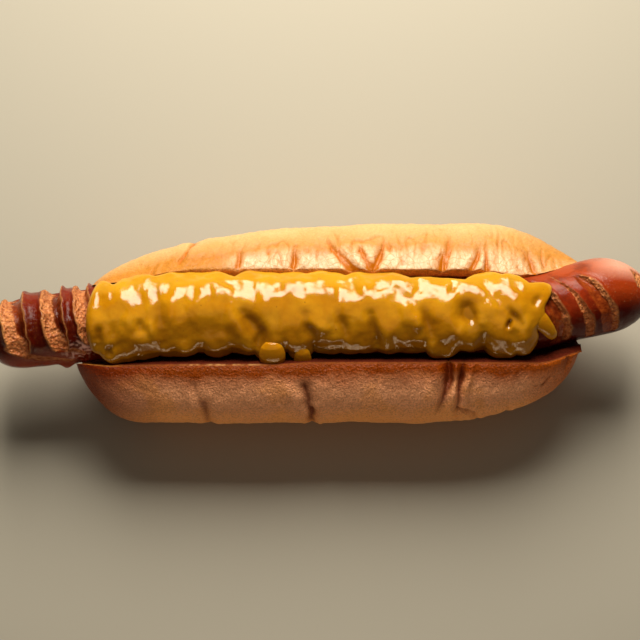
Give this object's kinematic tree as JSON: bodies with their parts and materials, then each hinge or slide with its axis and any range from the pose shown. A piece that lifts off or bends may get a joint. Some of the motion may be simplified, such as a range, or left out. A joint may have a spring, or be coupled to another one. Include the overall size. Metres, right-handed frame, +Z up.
{
  "type": "hot dog",
  "caption": "Grilled, scored sausage in a soft bun split along its top, covered with a thick layer of mustard.",
  "frame": {"origin": "on the surface the bun rests on, in the middle of the bun's flat underside", "axes": "+X along the bun, +Y towards the half of the bun that is glazed, +Z up"},
  "size_m": [0.218, 0.0668, 0.0471],
  "materials": {
    "bun": "baked golden-brown crust, egg-washed on its back half",
    "sausage": "grilled red-brown casing, glossy, with rough light meat in the open cuts",
    "mustard": "wet ochre mustard, glossy"
  },
  "bodies": {
    "root": {"bun": "bun", "sausage": "sausage", "mustard": "mustard"}
  },
  "joints": []
}
